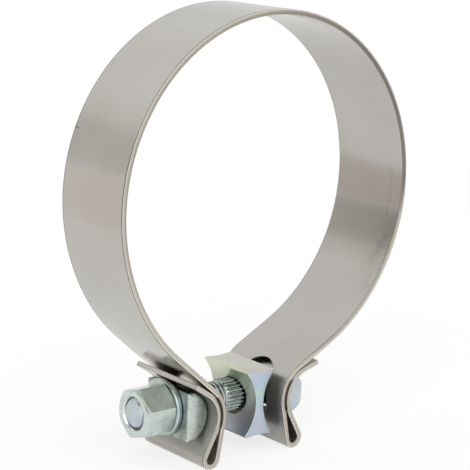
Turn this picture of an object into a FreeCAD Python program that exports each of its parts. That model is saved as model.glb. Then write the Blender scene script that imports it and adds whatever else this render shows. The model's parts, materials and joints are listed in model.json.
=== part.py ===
import FreeCAD, Part
import math
import os

# Exhaust seal clamp: a flat stainless band bent to a ring, with both ends folded back into
# double legs. A T-headed bolt goes through both legs and the spacer block between them, and a
# half-round saddle, a flat washer and a hex nut close it. All sizes are in millimetres.
#
# Frame: origin at the ring's centre, half way along its width. +Y is the pipe's axis, +Z is up,
# away from the bolt, and the bolt lies along X with its head at +X and its nut at -X. The bolt
# lies loose in the open clamp, so its nut end is a little high. What sits on it is modelled on a
# level axis through the head's fold, and then turned with it.

V = FreeCAD.Vector
same_point = 0.001              # points nearer than this are one
cutter_past = 1.0               # how far a cutter runs past what it cuts

# Band
ring_inner_radius = 54.0        # free size, before it is pulled down on the pipe
shoulder_ease = 5.0             # added to that radius on the ring's way to the nut-side leg
shoulder_start = 188.0          # degrees from +X towards +Z, where this gentler curve starts
band_width = 29.1
sheet_thickness = 1.5
ring_offset = 5.0               # ring centre, from the middle between the legs towards the head

# Folded legs
leg_gap = 22.0                  # between the two legs at the bolt
head_side_straight = 13.63      # flat length between ring and bend on the head's side
layer_gap = 0.35                # between the two layers of a leg
leg_lean = 10.8                 # degrees, lower half of a leg, out from upright
leg_straight = 11.3             # flat length between the bend and the eye
eye_inner_radius = 1.65         # of the eye where the sheet turns back
nut_tail_flare = 6.1            # flat length of the free end past the bend, nut's side
nut_tail_spread = 7.0           # degrees that this end stands off the sheet
head_tail_flare = 5.3           # the same on the head's side
head_tail_spread = 12.0
slot_width = 12.8               # through the layer next to the spacer block
slot_shift = 0.9                # of that slot off the middle, towards the near side
slot_rise = 24.6                # degrees from the bolt's level to the slot's upper end centre
slot_fall = 5.0                 # degrees down to its lower end centre
tail_slot_width = 12.0          # through the tail layer, where bar and head cover it
tail_slot_rise = 8.0
tail_slot_fall = 2.0

# Round that seats in the folds: the saddle's back and the underside of the bolt's head
bar_radius = 8.3
bar_seat = 0.15                 # running gap between that round and the fold
bar_length = 20.8               # along the band's width, for the saddle

# Spacer block
block_width = 12.3              # between its edges, along the bolt
block_neck = 3.0
block_length = 21.0             # along the band's width
block_place = 5.65              # from the middle between the legs towards the head
block_pipe_gap = 1.0            # between its upper edges and the open ring's inside
block_dish = 0.6                # depth of its hollow top and bottom faces
block_edge_radius = 0.45
block_bore_gap = 0.6            # radial, loose on the splines
block_hang_gap = 0.05           # left at the top of its bore, by which it hangs
block_bore_rise = 0.3           # bore above the block's middle

# Bolt
bolt_tilt = 1.2                 # degrees, nut end up
thread_radius = 4.76
bolt_recess = 0.1               # its end, inside the nut's face
bolt_end_chamfer = 0.9
head_height = 12.4
head_depth = 9.2                # along the bolt, from the fold to the head's back
head_length = 20.4              # along the band's width
head_end_round = 1.3
spline_count = 24
spline_root_radius = 4.82
spline_crest_radius = 5.3
spline_past_block = 6.8         # how far the splines stand out of the block's neck
spline_chamfer = 0.7
spline_crest_share = 0.3        # flat crest, of one pitch
spline_root_share = 0.25        # flat root, of one pitch

# Saddle
saddle_flat = 7.7               # thickness along the bolt, from the fold to its flat face
saddle_height = 15.2
saddle_edge_round = 1.1
saddle_bolt_gap = 1.15          # radial, wide enough for the bolt's tilt

# Washer
washer_radius = 8.75
washer_thickness = 1.95
washer_round = 0.8              # of the rim towards the nut
washer_back_edge = 0.3          # bevel of the other rim
washer_bolt_gap = 1.1           # radial, a loose washer
washer_shift = 1.0              # off the bolt's axis, away from the near side
face_gap = 0.02                 # between the flat faces that bear on each other

# Nut
nut_flats = 14.3
nut_length = 10.7
nut_corner_angle = 16.5         # degrees of one corner above the near side
nut_chamfer_angle = 30.0
nut_face_radius = 6.9           # flat ring left by the chamfer
nut_mouth_radius = 5.3
nut_mouth_depth = 0.8
nut_thread_gap = 0.05

# Sizes that follow from the ones above
ring_mid_radius = ring_inner_radius + sheet_thickness / 2
tail_inner_radius = bar_radius + bar_seat
tail_mid_radius = tail_inner_radius + sheet_thickness / 2
bend_mid_radius = tail_mid_radius + sheet_thickness + layer_gap
bend_outer_radius = bend_mid_radius + sheet_thickness / 2
eye_mid_radius = eye_inner_radius + sheet_thickness / 2
middle_x = -ring_offset
leg_centre_x = leg_gap / 2 + bend_outer_radius
nut_bend_x = middle_x - leg_centre_x
head_bend_x = middle_x + leg_centre_x
head_tangent = ring_mid_radius + bend_mid_radius
bolt_z = -math.sqrt(head_side_straight ** 2 + head_tangent ** 2 - head_bend_x ** 2)
block_x = middle_x + block_place
block_drop = block_bore_gap - block_hang_gap
block_middle_z = bolt_z - block_drop - block_bore_rise
block_height = 2 * (-block_middle_z - ring_inner_radius - block_pipe_gap)
head_under_x = head_bend_x - bar_radius
saddle_x = head_bend_x - 2 * leg_centre_x * math.cos(math.radians(bolt_tilt))
saddle_drop = 2 * leg_centre_x * math.sin(math.radians(bolt_tilt))
saddle_back_x = saddle_x + bar_radius
saddle_face_x = saddle_back_x - saddle_flat
washer_face_x = saddle_face_x - face_gap - washer_thickness
nut_base_x = washer_face_x - face_gap
nut_face_x = nut_base_x - nut_length
bolt_end_x = nut_face_x + bolt_recess
spline_end_x = block_x - block_neck / 2 - spline_past_block
shoulder_mid_radius = ring_mid_radius + shoulder_ease
layer_middle_radius = bend_mid_radius - (sheet_thickness + layer_gap) / 2


def unit(degrees):
    """Unit vector in the XZ plane, at an angle from +X towards +Z."""
    angle = math.radians(degrees)
    return V(math.cos(angle), 0, math.sin(angle))


def left_of(degrees):
    """Unit vector to the left of a direction of travel."""
    return unit(degrees + 90)


def travel_between(turn_a, turn_b):
    """Direction of the straight run that leaves turn_a and meets turn_b, both tangent.

    A turn is a centre and a radius, which is positive where the path turns left.
    """
    across = turn_b[0].sub(turn_a[0])
    rise = turn_b[1] - turn_a[1]
    run = math.sqrt(max(across.Length ** 2 - rise ** 2, 0))
    return math.degrees(math.atan2(across.z, across.x) - math.atan2(rise, run))


def side_edges(turns, travels, start_flat, end_flat, offset):
    """Edges of the path of turns and straight runs, moved to its left by offset."""
    edges = []
    centre, radius = turns[0]
    last = centre.sub(left_of(travels[0]) * (radius - offset)).sub(unit(travels[0]) * start_flat)
    for (centre, radius), come, leave in zip(turns, travels, travels[1:]):
        sweep = (leave - come) % 360 if radius > 0 else -((come - leave) % 360)
        arc = [centre.sub(left_of(come + share * sweep) * (radius - offset)) for share in (0, 0.5, 1)]
        if last.distanceToPoint(arc[0]) > same_point:
            edges.append(Part.LineSegment(last, arc[0]).toShape())
        edges.append(Part.Arc(*arc).toShape())
        last = arc[2]
    edges.append(Part.LineSegment(last, last.add(unit(travels[-1]) * end_flat)).toShape())
    return edges


def ends(edges):
    """First and last point of a run of edges that was drawn in order."""
    return edges[0].Vertexes[0].Point, edges[-1].Vertexes[-1].Point


def along_width(wire_edges, length):
    """Solid of a closed profile in the XZ plane, extruded evenly to both sides of the middle."""
    face = Part.Face(Part.Wire(wire_edges))
    face.translate(V(0, -length / 2, 0))
    return face.extrude(V(0, length, 0))


def along_bolt(radius, x_from, x_to):
    """Cylinder on the bolt's axis."""
    return Part.makeCylinder(radius, x_to - x_from, V(x_from, 0, bolt_z), V(1, 0, 0))


def cone_along_bolt(radius_from, radius_to, x_from, x_to):
    """Cone on the bolt's axis."""
    return Part.makeCone(radius_from, radius_to, x_to - x_from, V(x_from, 0, bolt_z), V(1, 0, 0))


def turned_with_bolt(shape):
    """The shape after the bolt's tilt, about the head's fold."""
    return shape.rotate(V(head_bend_x, 0, bolt_z), V(0, 1, 0), bolt_tilt)


def bolt_slot(bend_centre, inward, width, shift, rise, fall, inner_radius, outer_radius):
    """Cutter for a leg's slot through one layer, which lies between two radii of the bend. Its
    ends point at the bend's centre, as in a slot that was punched before the sheet was bent.
    inward is +1 or -1, towards the middle."""
    start = inner_radius / 4
    toward = [unit(angle) for angle in (rise, (rise - fall) / 2, -fall)]
    toward = [V(inward * direction.x, 0, direction.z) for direction in toward]
    near = [bend_centre.add(direction * start) for direction in toward]
    far = [bend_centre.add(direction * outer_radius) for direction in toward]
    ends_of_slot = [Part.makeCylinder(width / 2, outer_radius - start, near[end], toward[end])
                    for end in (0, 2)]
    corners = near + far[::-1] + near[:1]
    between = along_width(list(Part.makePolygon(corners).Edges), width)
    corner = bend_centre.sub(V(0, band_width / 2, 0))
    within, beneath = [Part.makeCylinder(radius, band_width, corner, V(0, 1, 0))
                       for radius in (outer_radius, inner_radius)]
    cutter = between.fuse(ends_of_slot)
    cutter.translate(V(0, -shift, 0))
    return cutter.common(within.cut(beneath))


def band():
    """Ring and both folded legs, one strip of even thickness."""
    ring = (V(0, 0, 0), -ring_mid_radius)
    lean = unit(leg_lean - 90)
    legs = []
    for bend_x, inward in ((nut_bend_x, 1), (head_bend_x, -1)):
        bend = V(bend_x, 0, bolt_z)
        down = V(-inward * lean.x, 0, lean.z)
        out_of_bend = V(-inward * lean.z, 0, -lean.x)
        eye = bend.add(out_of_bend * (bend_mid_radius - eye_mid_radius)).add(down * leg_straight)
        legs.append([(bend, -tail_mid_radius), (eye, eye_mid_radius), (bend, bend_mid_radius)])
    shoulder = (unit(shoulder_start) * (ring_mid_radius - shoulder_mid_radius), -shoulder_mid_radius)
    turns = legs[0] + [shoulder, ring] + legs[1][::-1]
    travels = [travel_between(a, b) for a, b in zip(turns, turns[1:])]
    nut_leg, head_leg = travels[2], travels[4]
    nut_flare = nut_leg - 180 + nut_tail_spread
    head_flare = head_leg - 180 - head_tail_spread
    travels = [nut_flare] + travels + [head_flare]
    outer = side_edges(turns, travels, nut_tail_flare, head_tail_flare, sheet_thickness / 2)
    inner = side_edges(turns, travels, nut_tail_flare, head_tail_flare, -sheet_thickness / 2)
    caps = [Part.LineSegment(a, b).toShape() for a, b in zip(ends(outer), ends(inner))]
    strip = along_width(outer + [caps[1]] + inner[::-1] + [caps[0]], band_width)
    for turn, inward in ((turns[0], 1), (turns[-1], -1)):
        strip = strip.cut([
            bolt_slot(turn[0], inward, slot_width, slot_shift, slot_rise, slot_fall,
                      layer_middle_radius, bend_outer_radius + cutter_past),
            bolt_slot(turn[0], inward, tail_slot_width, 0, tail_slot_rise, tail_slot_fall,
                      tail_inner_radius - cutter_past, layer_middle_radius)])
    return strip


def spacer_block():
    """Block that the legs close on: hollow on both sides to fit the bends, dished top and
    bottom, bored for the splined part of the bolt."""
    half_width = block_width / 2
    half_neck = block_neck / 2
    half_height = block_height / 2
    centre = V(block_x, 0, block_middle_z)
    corners = [V(x, 0, z) for x, z in ((-half_width, half_height), (half_width, half_height),
                                       (half_width, -half_height), (-half_width, -half_height))]
    waists = [V(0, 0, half_height - block_dish), V(half_neck, 0, 0),
              V(0, 0, block_dish - half_height), V(-half_neck, 0, 0)]
    sides = [Part.Arc(a.add(centre), waist.add(centre), b.add(centre)).toShape()
             for a, waist, b in zip(corners, waists, corners[1:] + corners[:1])]
    body = along_width(sides, block_length)
    long_edges = [edge for edge in body.Edges
                  if edge.Curve.TypeId == "Part::GeomLine" and abs(edge.Length - block_length) < same_point]
    body = body.makeFillet(block_edge_radius, long_edges)
    bore = along_bolt(spline_crest_radius + block_bore_gap, block_x - block_width, block_x + block_width)
    bore.translate(V(0, 0, -block_drop))
    return turned_with_bolt(body.cut(bore))


def shank():
    """Shank under the head: chamfered tip, thread, and a full-diameter part cut to splines."""
    chamfer_x = spline_end_x + spline_chamfer
    inside_head_x = head_under_x + head_depth / 2
    outline = [(bolt_end_x, 0), (bolt_end_x, thread_radius - bolt_end_chamfer),
               (bolt_end_x + bolt_end_chamfer, thread_radius), (spline_end_x, thread_radius),
               (chamfer_x, spline_crest_radius), (inside_head_x, spline_crest_radius),
               (inside_head_x, 0)]
    points = [V(x, 0, bolt_z + radius) for x, radius in outline]
    turned = Part.Face(Part.makePolygon(points + points[:1])).revolve(V(0, 0, bolt_z), V(1, 0, 0), 360)
    return turned.cut(spline_grooves(inside_head_x))


def spline_grooves(to_x):
    """Cutters between the splines, wider outside than at the root."""
    pitch = math.radians(360 / spline_count)
    depth = spline_crest_radius - spline_root_radius
    root_half = pitch * spline_root_share / 2
    crest_half = pitch * (1 - spline_crest_share) / 2
    outside_half = 2 * crest_half - root_half
    outside_radius = spline_crest_radius + depth
    section = [(outside_radius, outside_half), (spline_root_radius, root_half),
               (spline_root_radius, -root_half), (outside_radius, -outside_half)]
    grooves = []
    for groove in range(spline_count):
        points = []
        for radius, step in section:
            angle = pitch * (groove + 0.5) + step
            points.append(V(spline_end_x, radius * math.cos(angle), bolt_z + radius * math.sin(angle)))
        face = Part.Face(Part.makePolygon(points + points[:1]))
        grooves.append(face.extrude(V(to_x - spline_end_x, 0, 0)))
    return grooves


def bolt():
    """T-headed bolt: a bar-shaped head that seats in the fold, splines, then the thread."""
    half_height = head_height / 2
    corner_x = head_bend_x - math.sqrt(bar_radius ** 2 - half_height ** 2)
    back_x = head_under_x + head_depth
    top = V(corner_x, 0, bolt_z + half_height)
    bottom = V(corner_x, 0, bolt_z - half_height)
    under = Part.Arc(bottom, V(head_under_x, 0, bolt_z), top).toShape()
    back = Part.Arc(top, V(back_x, 0, bolt_z), bottom).toShape()
    bar = along_width([under, back], head_length)
    plan = Part.makeBox(2 * head_depth, head_length, 2 * head_height,
                        V(back_x - 2 * head_depth, -head_length / 2, bolt_z - head_height))
    back_corners = [edge for edge in plan.Edges
                    if abs(edge.CenterOfMass.x - back_x) < same_point
                    and abs(edge.Length - 2 * head_height) < same_point]
    head = bar.common(plan.makeFillet(head_end_round, back_corners))
    return turned_with_bolt(head.fuse(shank()))


def saddle():
    """Half-round bar in the nut-side fold, with soft edges and a hole for the bolt."""
    half_height = saddle_height / 2
    middle_z = bolt_z - saddle_drop
    corner_x = saddle_x + math.sqrt(bar_radius ** 2 - half_height ** 2)
    top = V(corner_x, 0, middle_z + half_height)
    bottom = V(corner_x, 0, middle_z - half_height)
    face_top = V(saddle_face_x, 0, middle_z + half_height)
    face_bottom = V(saddle_face_x, 0, middle_z - half_height)
    profile = [Part.LineSegment(face_bottom, face_top).toShape(),
               Part.LineSegment(face_top, top).toShape(),
               Part.Arc(top, V(saddle_back_x, 0, middle_z), bottom).toShape(),
               Part.LineSegment(bottom, face_bottom).toShape()]
    bar = along_width(profile, bar_length)
    end_edges = [edge for edge in bar.Edges
                 if abs(abs(edge.CenterOfMass.y) - bar_length / 2) < same_point]
    bar = bar.makeFillet(saddle_edge_round, end_edges)
    hole = along_bolt(thread_radius + saddle_bolt_gap,
                      saddle_face_x - cutter_past, saddle_back_x + cutter_past)
    hole.translate(V(0, 0, -saddle_drop))
    return turned_with_bolt(bar.cut(hole))


def washer():
    """Flat washer with a rounded rim towards the nut, between saddle and nut."""
    hole_radius = thread_radius + washer_bolt_gap
    back_x = washer_face_x + washer_thickness
    corner_cut = washer_round * (1 - math.sqrt(0.5))
    round_part = [(washer_face_x, washer_radius - washer_round),
                  (washer_face_x + corner_cut, washer_radius - corner_cut),
                  (washer_face_x + washer_round, washer_radius)]
    flat_part = [round_part[2], (back_x - washer_back_edge, washer_radius),
                 (back_x, washer_radius - washer_back_edge), (back_x, hole_radius),
                 (washer_face_x, hole_radius), round_part[0]]
    rim = Part.Arc(*[V(x, 0, bolt_z + radius) for x, radius in round_part]).toShape()
    rest = Part.makePolygon([V(x, 0, bolt_z + radius) for x, radius in flat_part])
    profile = Part.Face(Part.Wire([rim] + list(rest.Edges)))
    disc = profile.revolve(V(0, 0, bolt_z), V(1, 0, 0), 360)
    disc.translate(V(0, washer_shift, 0))
    return turned_with_bolt(disc)


def nut():
    """Hex nut, chamfered at both ends and opened out at both mouths of its bore."""
    corner_radius = nut_flats / 2 / math.cos(math.radians(30))
    corners = []
    for corner in range(7):
        angle = math.radians(nut_corner_angle + 60 * corner)
        corners.append(V(nut_face_x, -corner_radius * math.cos(angle),
                         bolt_z + corner_radius * math.sin(angle)))
    hexagon = Part.Face(Part.makePolygon(corners)).extrude(V(nut_length, 0, 0))
    chamfer = math.tan(math.radians(nut_chamfer_angle)) * (corner_radius - nut_face_radius)
    envelope = cone_along_bolt(nut_face_radius, corner_radius, nut_face_x, nut_face_x + chamfer)
    envelope = envelope.fuse([
        along_bolt(corner_radius, nut_face_x + chamfer, nut_base_x - chamfer),
        cone_along_bolt(corner_radius, nut_face_radius, nut_base_x - chamfer, nut_base_x)])
    bore_radius = thread_radius + nut_thread_gap
    bore = along_bolt(bore_radius, nut_face_x, nut_base_x)
    mouths = [cone_along_bolt(nut_mouth_radius, bore_radius, nut_face_x, nut_face_x + nut_mouth_depth),
              cone_along_bolt(bore_radius, nut_mouth_radius, nut_base_x - nut_mouth_depth, nut_base_x)]
    return turned_with_bolt(hexagon.common(envelope).cut(bore.fuse(mouths)))


def main():
    parts = {
        "band": band(),
        "spacer_block": spacer_block(),
        "t_bolt": bolt(),
        "saddle": saddle(),
        "washer": washer(),
        "hex_nut": nut(),
    }
    os.makedirs("parts", exist_ok=True)
    for name, shape in parts.items():
        if len(shape.Solids) == 1:
            shape = shape.Solids[0]
        shape.exportStep("parts/" + name + ".step")
        print(name, len(shape.Solids), shape.isValid(), round(shape.Volume, 1))


main()
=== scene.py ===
import json
import math
import bmesh
import bpy
from mathutils import Matrix, Vector


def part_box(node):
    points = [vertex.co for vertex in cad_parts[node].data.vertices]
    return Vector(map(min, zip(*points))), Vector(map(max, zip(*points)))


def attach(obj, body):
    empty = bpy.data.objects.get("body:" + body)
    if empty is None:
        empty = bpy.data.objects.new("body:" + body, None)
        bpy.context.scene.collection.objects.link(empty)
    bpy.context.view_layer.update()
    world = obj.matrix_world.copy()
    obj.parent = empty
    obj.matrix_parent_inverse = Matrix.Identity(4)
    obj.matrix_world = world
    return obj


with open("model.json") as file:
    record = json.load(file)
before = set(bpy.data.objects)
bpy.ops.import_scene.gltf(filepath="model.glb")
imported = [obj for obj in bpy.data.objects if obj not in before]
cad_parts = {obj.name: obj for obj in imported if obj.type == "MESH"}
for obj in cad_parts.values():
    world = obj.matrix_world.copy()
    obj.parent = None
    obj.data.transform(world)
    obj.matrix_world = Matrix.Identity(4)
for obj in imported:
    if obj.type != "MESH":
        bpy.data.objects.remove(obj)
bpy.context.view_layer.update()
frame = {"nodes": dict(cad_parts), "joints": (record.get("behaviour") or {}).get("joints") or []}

# Exhaust seal clamp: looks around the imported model. All places are in metres, in its frame: the
# ring's centre is the origin, +Y is along the pipe, the bolt lies along X with its nut at -X.

MM = 0.001

# Sizes of the clamp that the finishes follow
ring_radius = 54.75 * MM            # middle of the band's thickness
half_sheet = 0.75 * MM
bend_level = -64.8 * MM
bend_centres = ((-27.8 * MM, 0, bend_level), (17.8 * MM, 0, bend_level))
between_bends_x = -5 * MM
layer_gap_radius = 10.125           # of the gap between a leg's layers, about its bend, in mm
thread_radius = 4.76 * MM
thread_pitch = 25.4 / 16 * MM
thread_start = 16.0 * MM            # from the nut's pivot towards the head
thread_length = 11.0 * MM
thread_height = 0.24 * MM           # how far its crest stands off the bolt
spline_root = 4.85 * MM
spline_crest = 5.25 * MM
head_under_x = 9.5 * MM             # flat underside of the bolt's head
saddle_sheen_start = -25.4 * MM       # the saddle's rounded ends near its flat face carry a painted highlight
saddle_sheen_end = -22.8 * MM

# Edges as punched, pressed and plated: how wide each metal's edges shade as rounded
edge_rounds = {"stainless_band": 0.65 * MM, "zinc_block": 0.35 * MM, "zinc_bolt": 0.12 * MM,
               "zinc_saddle": 0.50 * MM, "zinc_washer": 0.15 * MM, "zinc_nut": 0.30 * MM}

# Painted shade in narrow gaps, and painted light: a paler band where its faces lie close and light each
# other
crevice_shade_reach = 3.0 * MM
crevice_shade_color = (0.07, 0.063, 0.052)
close_reach = 6.0 * MM
bounce_light_color = (0.84, 0.81, 0.75)

# The nut's turning axis is the bolt's, and points from the head to the nut
nut_turn = next(joint for joint in frame["joints"] if joint["name"] == "nut_turn")
bolt_axis = Vector(nut_turn["axis"]).normalized()
bolt_point = Vector(nut_turn["pos_m"])
bolt_side = Vector((0, 1, 0))
bolt_up = bolt_side.cross(bolt_axis)


class Socket:
    """An output of a node that takes part in arithmetic; each operation adds one Math node."""

    def __init__(self, tree, output):
        self.tree = tree
        self.output = output

    def math(self, operation, *values):
        return self.tree.node("Math", {"operation": operation}, dict(enumerate(values)))

    def __add__(self, other):
        return self.math("ADD", self, other)

    __radd__ = __add__

    def __sub__(self, other):
        return self.math("SUBTRACT", self, other)

    def __rsub__(self, other):
        return self.math("SUBTRACT", other, self)

    def __mul__(self, other):
        return self.math("MULTIPLY", self, other)

    __rmul__ = __mul__

    def __truediv__(self, other):
        return self.math("DIVIDE", self, other)

    def __pow__(self, other):
        return self.math("POWER", self, other)

    def size(self):
        return self.math("ABSOLUTE", self)

    def most(self, other):
        return self.math("MAXIMUM", self, other)

    def fraction(self):
        return self.math("FRACT", self)

    def rise(self, low, high):
        """0 below low, 1 above high, smooth between them; falls where low is the larger."""
        return self.tree.node("MapRange", {"interpolation_type": "SMOOTHSTEP"},
                              {"Value": self, "From Min": low, "From Max": high})

    def near(self, middle, half_width):
        """1 at middle, 0 from half_width away."""
        return (self - middle).size().rise(half_width, 0)


class Nodes:
    """A node tree that is written as expressions."""

    def __init__(self, tree):
        self.tree = tree
        tree.nodes.clear()

    def node(self, kind, settings=None, inputs=None, output=0):
        """One node: its settings, then the values or links of its sockets. Gives one output."""
        made = self.tree.nodes.new("ShaderNode" + kind)
        for name, value in (settings or {}).items():
            if name == "stops":
                self.set_stops(made.color_ramp, value)
            else:
                setattr(made, name, value)
        for name, value in (inputs or {}).items():
            if isinstance(value, Socket):
                self.tree.links.new(value.output, made.inputs[name])
            else:
                made.inputs[name].default_value = value
        return Socket(self, made.outputs[output]) if made.outputs else None

    def set_stops(self, ramp, stops):
        while len(ramp.elements) < len(stops):
            ramp.elements.new(1)
        for element, (place, color) in zip(ramp.elements, stops):
            element.position = place
            element.color = (*color, 1)

    def mix(self, share, first, second):
        """Colour between two colours."""
        first, second = [value if isinstance(value, Socket) else (*value, 1)
                         for value in (first, second)]
        return self.node("Mix", {"data_type": "RGBA"}, {0: share, 6: first, 7: second}, output=2)

    def ramp(self, share, *colors):
        """Colour from a row of colours, evenly spaced."""
        stops = [(step / (len(colors) - 1), color) for step, color in enumerate(colors)]
        return self.node("ValToRGB", {"stops": stops}, {0: share})

    def along(self, vector, direction):
        """How far the vector reaches in a direction."""
        return self.node("VectorMath", {"operation": "DOT_PRODUCT"}, {0: vector, 1: direction},
                         output="Value")

    def stretched(self, vector, scales):
        return self.node("VectorMath", {"operation": "MULTIPLY"}, {0: vector, 1: scales})

    def noise(self, vector, detail=2, roughness=0.5):
        """Noise of the vector as it is, about 0.5 in the middle."""
        return self.node("TexNoise", {}, {"Vector": vector, "Scale": 1, "Detail": detail,
                                          "Roughness": roughness})


class Finish(Nodes):
    """A metal's material, with the places and rounded normals that its patterns use."""

    def __init__(self, name):
        self.material = bpy.data.materials.new(name)
        self.material.use_nodes = True
        super().__init__(self.material.node_tree)
        self.place = self.node("TexCoord", output="Object")
        self.x, self.y, self.z = self.parts(self.place)
        self.rounded = self.node("Bevel", {"samples": 8}, {"Radius": edge_rounds[name]})
        self.facing = self.node("VectorTransform", {"vector_type": "NORMAL", "convert_from": "WORLD",
                                                    "convert_to": "OBJECT"}, {0: self.rounded})
        self.facing_x, self.facing_y, self.facing_z = self.parts(self.facing)

    def parts(self, vector):
        return [self.node("SeparateXYZ", {}, {0: vector}, output=axis) for axis in "XYZ"]

    def speckle(self, scale, detail=2, roughness=0.5):
        """Noise with the same scale all ways, in features a metre."""
        return self.noise(self.stretched(self.place, (scale, scale, scale)), detail, roughness)

    def away_from(self, spot, scales=(1, 1, 1)):
        """Distance from a spot, in millimetres, each axis times its scale."""
        shift = self.node("VectorMath", {"operation": "SUBTRACT"}, {0: self.place, 1: spot})
        shift = self.stretched(shift, [scale / MM for scale in scales])
        return self.node("VectorMath", {"operation": "LENGTH"}, {0: shift}, output="Value")

    def crevice(self, reach, start=0.62, full=0.08, own_piece=False):
        """1 in narrow gaps and corners; start and full are the open shares where it is 0 and 1."""
        open_share = self.node("AmbientOcclusion", {"samples": 8, "only_local": own_piece},
                               {"Distance": reach}, output="AO")
        return open_share.rise(start, full)

    def metal(self, color, roughness, height, height_size, crevice_shade=0.5):
        """Bare or plated metal; height is its relief, height_size what 1 of it stands out."""
        # Painted shade: the colour darkens in narrow gaps and corners
        color = self.mix(self.crevice(crevice_shade_reach) * crevice_shade, color, crevice_shade_color)
        bump = self.node("Bump", {}, {"Strength": 1.0, "Distance": height_size, "Height": height,
                                      "Normal": self.rounded})
        shader = self.node("BsdfPrincipled", {}, {"Base Color": color, "Metallic": 1.0,
                                                  "Roughness": roughness, "Normal": bump})
        self.node("OutputMaterial", {}, {"Surface": shader})
        return self.material


def band_finish():
    """Rolled stainless strip: warm grey and satin, with faint rolling lines and sheared edges."""
    make = Finish("stainless_band")
    rolling = make.noise(make.stretched(make.place, (50, 5200, 50)), 3, 0.6)
    wide_rolling = make.noise(make.stretched(make.place, (16, 700, 16)), 2)
    clouds = make.speckle(38, 3)
    grain = make.speckle(5200, 2)
    outward = make.x * make.facing_x + make.z * make.facing_z
    outer_side = outward.rise(-0.5 * MM, 0.5 * MM)
    inner_side = outward.rise(0.5 * MM, -0.5 * MM)
    to_rim = make.facing_y.size()

    face = make.mix(clouds.rise(0.3, 0.7), (0.49, 0.472, 0.440), (0.53, 0.513, 0.481))
    face = make.mix(rolling.rise(0.45, 0.8) * 0.12, face, (0.40, 0.38, 0.35))
    face = make.mix(wide_rolling.rise(0.45, 0.8) * 0.10, face, (0.62, 0.60, 0.57))
    face = make.mix(handling_marks(make), face, (0.20, 0.185, 0.165))
    # The inner side of the band is a little darker: painted shade
    face = make.mix(inner_side * 0.09, face, (0.20, 0.19, 0.17))
    # Painted light where the nut-side leg's faces lie close and light each other
    face = make.mix(painted_bounce(make), face, bounce_light_color)

    # The rim is brighter towards the outside, where it is burnished, and at the upper right it carries
    # a painted dark reflection, as in the photo
    radius = (make.x ** 2 + make.z ** 2) ** 0.5
    burnished = ((radius - ring_radius) / half_sheet).rise(-0.35, 0.05)
    edge = make.mix(burnished, (0.47, 0.43, 0.37), (0.60, 0.555, 0.49))
    edge = make.mix(grain.rise(0.4, 0.7) * 0.35, edge, (0.36, 0.325, 0.28))
    edge_dark_reflection = make.x.rise(-30 * MM, 45 * MM) * make.z.rise(-14 * MM, 0)
    edge = make.mix(edge_dark_reflection * 0.74, edge, (0.13, 0.13, 0.115))

    # The rounded corner between face and rim has a painted dark reflection line, then a burnished line
    # painted as a near-white highlight
    sheared = to_rim.rise(0.64, 0.74)
    corner_dark_reflection = to_rim.rise(0.05, 0.25) * to_rim.rise(0.89, 0.80)
    corner_highlight = to_rim.rise(0.83, 0.91) * to_rim.rise(0.998, 0.975)
    color = make.mix(sheared, face, edge)
    color = make.mix(corner_highlight * outer_side * 0.95, color, (1.0, 0.98, 0.93))
    color = make.mix(corner_dark_reflection * (0.35 + 0.57 * outer_side), color, (0.085, 0.08, 0.07))

    # Painted shade inside the eyes and in the gap between a leg's layers
    eye_shade = make.crevice(crevice_shade_reach, 0.72, 0.35, own_piece=True)
    eye_shade = eye_shade * make.z.rise(-71.5 * MM, -74 * MM)
    color = make.mix((between_layers(make) * 0.9).most(eye_shade * 0.8), color, crevice_shade_color)
    folded = make.z.rise(-54 * MM, -60 * MM)
    roughness = 0.13 + 0.05 * rolling + 0.04 * clouds + 0.10 * sheared + 0.26 * folded
    height = rolling * 0.35 + grain * 0.25 + wide_rolling * 0.25
    return make.metal(color, roughness, height, 0.0025 * MM, crevice_shade=0)


def painted_bounce(make):
    """Painted light where the nut-side leg's faces lie close together and light each other, most of all
    above its fold.
    """
    above_fold = make.z.rise(-63 * MM, -57 * MM)
    wider = make.crevice(close_reach, 0.9, 0.25) * above_fold
    nut_side = make.x.rise(6 * MM, 0)
    return (make.crevice(close_reach) * 0.8).most(wider * 0.8) * nut_side


def between_layers(make):
    """1 at the narrow gap between a leg's two layers, where they lie close round both bends: where
    shade is painted.
    """
    gaps = [make.away_from(centre, (1, 0, 1)).near(layer_gap_radius, 0.85) for centre in bend_centres]
    up = make.z - bend_level
    close = up.rise(-4.2 * MM, -2.4 * MM) * up.rise(7.2 * MM, 5.6 * MM)
    close = close * (make.x - between_bends_x).size().rise(18 * MM, 16 * MM)
    return gaps[0].most(gaps[1]).rise(0.05, 0.4) * close


def handling_marks(make):
    """Small dark marks on the ring: a nick by the far rim, a dot, and dashes and smears inside."""
    nick = make.away_from((-51.3 * MM, 13.5 * MM, 21.2 * MM), (1, 0.28, 1)).rise(0.38, 0.14)
    dot = make.away_from((-53.9 * MM, -1.2 * MM, -12.4 * MM)).rise(0.5, 0.2)
    dashes = make.noise(make.stretched(make.place, (900, 2400, 420)), 3, 0.7).rise(0.49, 0.58)
    wear_and_sheen = make.y.near(-9.8 * MM, 1.6 * MM) * make.x.rise(40 * MM, 46 * MM)
    wear_and_sheen = wear_and_sheen * make.z.near(-8 * MM, 18 * MM)
    smears = make.noise(make.stretched(make.place, (160, 300, 160)), 3, 0.6).rise(0.40, 0.62)
    smeared = make.y.near(-11.5 * MM, 6.5 * MM) * make.x.rise(30 * MM, 36 * MM)
    smeared = smeared * make.z.near(-23 * MM, 20 * MM)
    return (nick * 0.8).most(dot * 0.45).most(dashes * wear_and_sheen * 0.42).most(smears * smeared * 0.30)


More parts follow.
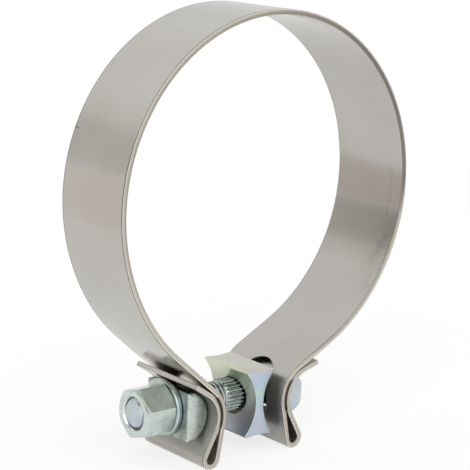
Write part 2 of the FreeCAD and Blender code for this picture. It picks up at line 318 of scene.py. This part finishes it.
def zinc_finish(name, pale, deep, roughness=0.16, mottle=0.2, relief=0.004 * MM, hues=0.3):
    """Bright zinc plating: cloudy, a little spangled, with faint passivation colours. Gives the
    finish to go on with, and what its metal is made from."""
    make = Finish(name)
    clouds = make.speckle(320, 4, 0.6)
    grains = make.speckle(2600, 3, 0.6)
    pits = make.speckle(1500, 2, 0.7).rise(0.70, 0.78)
    color = make.mix(clouds.rise(0.3, 0.7), deep, pale)
    color = make.mix(grains.rise(0.45, 0.75) * mottle, color, (0.33, 0.37, 0.36))
    tint = make.speckle(170, 2)
    color = make.mix(tint.rise(0.5, 0.72) * hues, color, (0.50, 0.60, 0.74))
    color = make.mix(tint.rise(0.5, 0.30) * hues, color, (0.60, 0.66, 0.48))
    color = make.mix(pits * 0.5, color, (0.16, 0.18, 0.17))
    return make, color, roughness + 0.08 * clouds + 0.06 * grains, clouds * 0.6 + grains * 0.5, relief


def washer_finish():
    """Plain zinc plating."""
    make, *metal = zinc_finish("zinc_washer", (0.58, 0.65, 0.62), (0.46, 0.53, 0.50), 0.14)
    return make.metal(*metal)


def nut_finish():
    """Bright zinc, scuffed, and rubbed bare along the edges round its end face, where a sparkling
    highlight is painted.
    """
    make, color, roughness, height, relief = zinc_finish(
        "zinc_nut", (0.70, 0.78, 0.75), (0.60, 0.68, 0.65), 0.15, 0.16, 0.003 * MM)
    to_end = make.along(make.facing, bolt_axis)
    # Rubbed bare along the edges round the end face, with a painted sparkling highlight there
    wear_and_sheen = to_end.near(0.45, 0.40) * make.speckle(900, 2).rise(0.25, 0.6)
    color = make.mix(wear_and_sheen * 0.8, color, (0.92, 0.95, 0.92))
    scuffs = make.noise(make.stretched(make.place, (420, 2600, 1500)), 3, 0.7).rise(0.54, 0.64)
    color = make.mix(scuffs * 0.30, color, (0.30, 0.34, 0.31))
    return make.metal(color, roughness, height, relief, crevice_shade=0.55)


def saddle_finish():
    """Rough and mottled zinc plating, with a painted highlight along its rounded ends."""
    make, color, roughness, height, relief = zinc_finish(
        "zinc_saddle", (0.44, 0.49, 0.46), (0.26, 0.30, 0.27), 0.22, 0.5, 0.04 * MM, 0.12)
    lumps = make.speckle(1100, 3, 0.6)
    # Painted highlight along the rounded ends, near the flat face
    wear_and_sheen = make.facing_y.size().rise(0.25, 0.6) * make.x.rise(saddle_sheen_end, saddle_sheen_start)
    color = make.mix(wear_and_sheen * (0.5 + 0.5 * lumps), color, (0.70, 0.76, 0.72))
    color = make.mix(lumps.rise(0.5, 0.7) * (1 - wear_and_sheen) * 0.65, color, (0.17, 0.195, 0.18))
    specks = make.speckle(2100, 3, 0.7).rise(0.54, 0.62)
    color = make.mix(specks * 0.5, color, (0.20, 0.225, 0.21))
    return make.metal(color, roughness, height * 0.4 + lumps * 0.8, relief, crevice_shade=0.4)


def bolt_finish():
    """Zinc plated bolt, with painted shade in the valleys of its thread and the grooves of its splines,
    and a painted highlight on the thread's crests.
    """
    make, color, roughness, height, relief = zinc_finish(
        "zinc_bolt", (0.60, 0.66, 0.72), (0.50, 0.56, 0.61), 0.15)
    shift = make.node("VectorMath", {"operation": "SUBTRACT"}, {0: make.place, 1: bolt_point})
    to_head = make.along(shift, -bolt_axis)
    across = make.along(shift, bolt_side)
    up = make.along(shift, bolt_up)
    radius = (across ** 2 + up ** 2) ** 0.5
    turn = up.math("ARCTAN2", up, across) / (2 * math.pi)
    crest = ((to_head - thread_start) / thread_pitch - turn).fraction()
    valley = 1 - ((crest - 0.5).size() * 2).rise(0.45, 0.9)
    thread_end = thread_start + thread_length
    threaded = to_head.rise(thread_end, thread_end - 1.0 * MM)
    threaded = threaded * radius.rise(thread_radius - 0.9 * MM, thread_radius - 0.2 * MM)
    splined = to_head.rise(thread_end, thread_end + 0.6 * MM)
    splined = splined * make.x.rise(head_under_x - 0.2 * MM, head_under_x - 0.6 * MM)
    groove = splined * radius.rise(spline_crest, spline_root)
    dull = make.speckle(1400, 3, 0.7).rise(0.35, 0.65)
    # Painted shade in the thread's valleys and the splines' grooves; a painted highlight on the crests
    groove_shade = (threaded * valley * 0.8).most(groove * (0.20 + 0.4 * dull))
    color = make.mix(groove_shade, color, (0.09, 0.105, 0.095))
    color = make.mix(threaded * (1 - valley) * 0.5, color, (0.68, 0.74, 0.66))
    return make.metal(color, roughness, height, relief)


def block_finish():
    """Passivated zinc with soft rainbow colours, as on the spacer block's pressed faces."""
    make = Finish("zinc_block")
    clouds = make.speckle(120, 2, 0.4)
    grains = make.speckle(2600, 3, 0.6)
    bands = (make.x * 30 + make.y * 62 + make.z * 34 + clouds * 0.9).fraction()
    bands = (bands - 0.5).size() * 2
    top = make.ramp(bands, (0.58, 0.66, 0.52), (0.64, 0.64, 0.55), (0.64, 0.60, 0.55),
                    (0.60, 0.58, 0.58))
    end_bands = ((make.z * 70 + make.x * 20 + clouds * 0.9).fraction() - 0.5).size() * 2
    end = make.ramp(end_bands, (0.58, 0.59, 0.72), (0.52, 0.63, 0.74), (0.54, 0.70, 0.68))
    # The side's colour runs with height, darker and bluer at the bottom, paler and greener at the top:
    # painted shade and light over the plating's colours
    side = make.ramp(make.z * 55 + clouds * 0.5 + 3.8, (0.40, 0.43, 0.50), (0.47, 0.46, 0.46),
                     (0.56, 0.57, 0.48), (0.74, 0.81, 0.60))
    color = make.mix(make.facing_y.size().rise(0.6, 0.95), side, end)
    # A paler, greener rim on the rounded edges: a painted highlight
    rim_highlight = make.facing_y.size().near(0.62, 0.42)
    color = make.mix(rim_highlight * 0.9, color, (0.74, 0.88, 0.76))
    color = make.mix(make.facing_z.rise(0.7, 0.95), color, top)
    color = make.mix(grains.rise(0.5, 0.8) * 0.15, color, (0.36, 0.40, 0.42))
    roughness = 0.26 + 0.08 * clouds + 0.05 * grains
    return make.metal(color, roughness, clouds * 0.3 + grains * 0.4, 0.004 * MM, crevice_shade=0.35)


def floor_finish():
    """Plain pale floor, near white to the eye and in the metal, with the clamp's faint shadow."""
    material = bpy.data.materials.new("pale_floor")
    material.use_nodes = True
    make = Nodes(material.node_tree)
    speck = make.node("TexNoise", {}, {"Scale": 900.0, "Detail": 2.0})
    color = make.mix(speck, (0.92, 0.92, 0.92), (0.94, 0.94, 0.94))
    lit = make.node("BsdfDiffuse", {}, {"Color": color})
    glow = make.node("Emission", {}, {"Color": (1, 1, 1, 1), "Strength": floor_white})
    rays = [make.node("LightPath", output=kind) * share for kind, share in floor_lifts.items()]
    shader = make.node("MixShader", {}, {0: rays[0].most(rays[1]).most(rays[2]), 1: lit, 2: glow})
    make.node("OutputMaterial", {}, {"Surface": shader})
    return material


def dress(name, material):
    frame["nodes"][name].material_slots[0].material = material


def thread_ridge(name, start, length, crest_height, steps=40):
    """One turn after another of a rolled thread on the bolt, start and length along its axis
    from the nut's pivot towards the head."""
    count = int(length / thread_pitch * steps)
    section = [(-0.42, -0.1), (-0.12, 1.0), (0.12, 1.0), (0.42, -0.1)]
    mesh = bmesh.new()
    rows = []
    for step in range(count + 1):
        angle = 2 * math.pi * step / steps
        fade = min(1, step / steps, (count - step) / steps)
        middle = bolt_point - bolt_axis * (start + thread_pitch * step / steps)
        outward = bolt_side * math.cos(angle) + bolt_up * math.sin(angle)
        row = []
        for shift, height in section:
            radius = thread_radius + crest_height * (height * fade if height > 0 else height)
            row.append(mesh.verts.new(middle - bolt_axis * shift * thread_pitch + outward * radius))
        rows.append(row)
    for row, following in zip(rows, rows[1:]):
        for corner in range(len(section)):
            other = (corner + 1) % len(section)
            mesh.faces.new((row[corner], row[other], following[other], following[corner]))
    mesh.faces.new(rows[0][::-1])
    mesh.faces.new(rows[-1])
    bmesh.ops.recalc_face_normals(mesh, faces=mesh.faces)
    data = bpy.data.meshes.new(name)
    mesh.to_mesh(data)
    mesh.free()
    data.shade_smooth()
    piece = bpy.data.objects.new(name, data)
    bpy.context.scene.collection.objects.link(piece)
    return piece


# Camera at the photograph's viewing angle; the picture is square
camera_place = Vector((-0.31654, -0.37251, 0.09827))
camera_towards = Vector((0.62820, 0.74499, -0.22437))
camera_up = Vector((0.12234, 0.19021, 0.97409))
camera_lens = 126.185
camera_sensor = 36.0


def place_camera():
    data = bpy.data.cameras.new("camera")
    data.lens = camera_lens
    data.sensor_width = camera_sensor
    data.clip_start = 0.01
    camera = bpy.data.objects.new("camera", data)
    right = camera_towards.cross(camera_up)
    turn = Matrix((right, camera_up, -camera_towards)).transposed()
    camera.matrix_world = Matrix.Translation(camera_place) @ turn.to_4x4()
    bpy.context.scene.collection.objects.link(camera)
    bpy.context.scene.camera = camera


# Studio: near white all round, with softly lighter and darker parts that the metal mirrors
studio_level = 0.97
floor_white = 1.04
# Share of the floor that is its own white, not its lighting, for the eye and in the metal
floor_lifts = {"Is Camera Ray": 0.72, "Is Glossy Ray": 0.36, "Is Transmission Ray": 0.72}
table_turn = 40                     # degrees from +X to the table's right
table_reach = (0.50, 0.55, 0.28, 0.70)      # to its right, front, back and left, in metres


# Cards that the ring mirrors: azimuth, elevation, half the size, soft borders, colour
studio_cards = ((172, 10, (0.22, 0.9), (0.30, 0.4), (0.42, 0.41, 0.39)),
                (145, 22, (0.47, 0.08), (0.35, 0.16), (0.90, 0.89, 0.87)),
                (145, 13, (0.47, 0.13), (0.35, 0.07), (0.76, 0.755, 0.73)),
                (145, -9, (0.47, 0.19), (0.35, 0.03), (0.91, 0.875, 0.845)),
                (160, 24, (0.32, 0.08), (0.26, 0.18), (0.62, 0.61, 0.58)),
                (160, 14, (0.32, 0.14), (0.26, 0.07), (0.33, 0.32, 0.295)),
                (158, -9, (0.32, 0.19), (0.28, 0.03), (0.64, 0.595, 0.55)))

# Round parts: azimuth, elevation, degrees to where it starts to fade, degrees to its end, colour
studio_rounds = ((110, 80, 8, 28, (0.45, 0.45, 0.44)),
                 (51, 15, 8, 25, (0.86, 0.86, 0.85)),
                 (222, -8, 8, 20, (1.4, 1.4, 1.36)),
                 (225, 36, 14, 36, (1.55, 1.55, 1.52)),
                 (310, -12, 8, 30, (0.80, 0.78, 0.74)))


def toward(azimuth, elevation):
    """Unit vector, in degrees from +X towards +Y and up from the floor."""
    azimuth, elevation = math.radians(azimuth), math.radians(elevation)
    level = math.cos(elevation)
    return Vector((level * math.cos(azimuth), level * math.sin(azimuth), math.sin(elevation)))


def light_studio():
    world = bpy.data.worlds.new("studio")
    world.use_nodes = True
    bpy.context.scene.world = world
    make = Nodes(world.node_tree)
    view = make.node("TexCoord", output="Generated")

    def round_part(under, middle, full, edge, color):
        """The studio with one more part: full degrees wide from its middle, gone at edge."""
        facing = make.along(view, middle)
        share = facing.rise(math.cos(math.radians(edge)), math.cos(math.radians(full)))
        return make.mix(share, under, color)

    def card(under, azimuth, elevation, size, soft, color):
        """The studio with an upright card: half its size and its soft borders, at distance 1."""
        facing = make.along(view, toward(azimuth, elevation))
        across = make.along(view, toward(azimuth - 90, 0)) / facing
        up = make.along(view, toward(azimuth, elevation + 90)) / facing
        share = across.size().rise(size[0] + soft[0], size[0])
        share = share * up.size().rise(size[1] + soft[1], size[1]) * facing.rise(0, 0.1)
        return make.mix(share, under, color)

    room = (studio_level,) * 3
    for one_card in studio_cards:
        room = card(room, *one_card)
    for azimuth, elevation, *look in studio_rounds:
        room = round_part(room, toward(azimuth, elevation), *look)
    rays = [make.node("LightPath", output=kind) for kind in ("Is Camera Ray", "Is Transmission Ray")]
    color = make.mix(rays[0].most(rays[1]), room, (1, 1, 1))
    background = make.node("Background", {}, {"Color": color, "Strength": 1.0})
    make.node("OutputWorld", {}, {"Surface": background})


def soft_lamp(name, place, size, power):
    data = bpy.data.lights.new(name, "AREA")
    data.shape = "DISK"
    data.size = size
    data.energy = power
    lamp = bpy.data.objects.new(name, data)
    lamp.location = place
    lamp.rotation_euler = (-Vector(place)).to_track_quat("-Z", "Y").to_euler()
    bpy.context.scene.collection.objects.link(lamp)


def lay_table():
    """A table top under the clamp, which ends close behind it on the left, as the band shows."""
    height = min(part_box(name)[0].z for name in frame["nodes"])
    right, back = toward(table_turn, 0), toward(table_turn + 90, 0)
    to_right, to_front, to_back, to_left = table_reach
    data = bpy.data.meshes.new("floor")
    corners = [right * across + back * along for across, along in
               ((-to_left, -to_front), (to_right, -to_front), (to_right, to_back), (-to_left, to_back))]
    data.from_pydata([(corner.x, corner.y, height) for corner in corners], [], [(0, 1, 2, 3)])
    table = bpy.data.objects.new("floor", data)
    bpy.context.scene.collection.objects.link(table)
    data.materials.append(floor_finish())


place_camera()
light_studio()
soft_lamp("overhead", (-0.25, -0.35, 0.9), 0.35, 0.7)
lay_table()

dress("band", band_finish())
dress("spacer_block", block_finish())
dress("t_bolt", bolt_finish())
dress("saddle", saddle_finish())
dress("washer", washer_finish())
dress("hex_nut", nut_finish())

thread = thread_ridge("bolt_thread", thread_start, thread_length, thread_height)
thread.data.materials.append(frame["nodes"]["t_bolt"].material_slots[0].material)
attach(thread, "clamp")

bpy.context.scene.view_settings.view_transform = "Standard"

bpy.context.view_layer.update()
